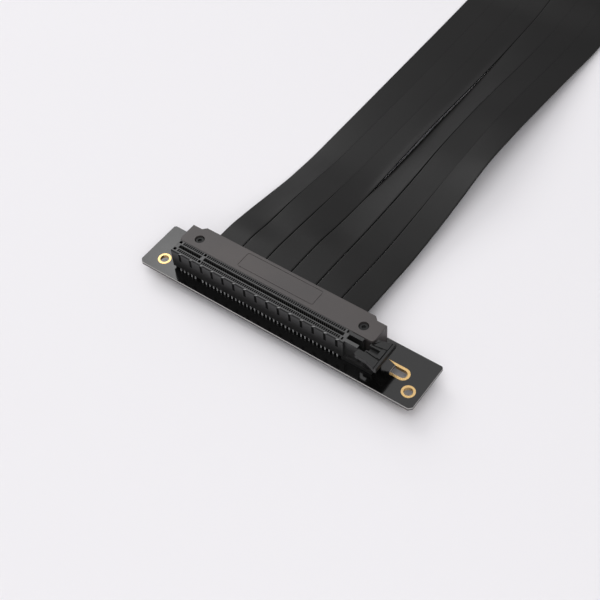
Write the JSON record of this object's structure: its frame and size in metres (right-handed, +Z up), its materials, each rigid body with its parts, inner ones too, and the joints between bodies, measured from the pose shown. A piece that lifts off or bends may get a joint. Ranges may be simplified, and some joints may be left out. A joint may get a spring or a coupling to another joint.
{
  "type": "graphics card riser cable",
  "caption": "Graphics card riser: card slot with a retention latch on a narrow board, a flat cable of strips and an edge-card plug.",
  "frame": {"origin": "on the surface the slot end stands on, below the middle of the plan of the boards and covers", "axes": "+Z up, out of the card slot; +X along the slot towards its latch; +Y from the slot end towards the plug"},
  "size_m": [0.1396, 0.3186, 0.0196],
  "materials": {
    "board_mask": "glossy black solder mask",
    "gold_plating": "bright gold plating",
    "slot_plastic": "black glass-filled nylon, satin",
    "cover_plastic": "dark grey, fine matt",
    "cable_jacket": "black cable jacket, satin",
    "black_steel": "blackened steel"
  },
  "bodies": {
    "riser": {"slot_board": "board_mask", "hole_plating_left": "gold_plating", "hole_plating_right": "gold_plating", "slot_plating": "gold_plating", "slot_housing": "slot_plastic", "slot_cover_top": "cover_plastic", "slot_cover_bottom": "cover_plastic", "slot_screw_left": "black_steel", "slot_screw_right": "black_steel", "ribbon_strip_1": "cable_jacket", "ribbon_strip_2": "cable_jacket", "ribbon_strip_3": "cable_jacket", "ribbon_strip_4": "cable_jacket", "ribbon_strip_5": "cable_jacket", "ribbon_strip_6": "cable_jacket", "plug_board": "board_mask", "plug_cover_top": "cover_plastic", "plug_cover_bottom": "cover_plastic", "plug_screw_left": "black_steel", "plug_screw_right": "black_steel"},
    "latch": {"latch": "slot_plastic"}
  },
  "joints": [
    {"name": "latch_hinge", "type": "hinge", "parent": "riser", "child": "latch", "pos_m": [0.04575, -0.1502, 0.0116], "axis": [0, 1, 0], "range_deg": [0, 20]}
  ]
}
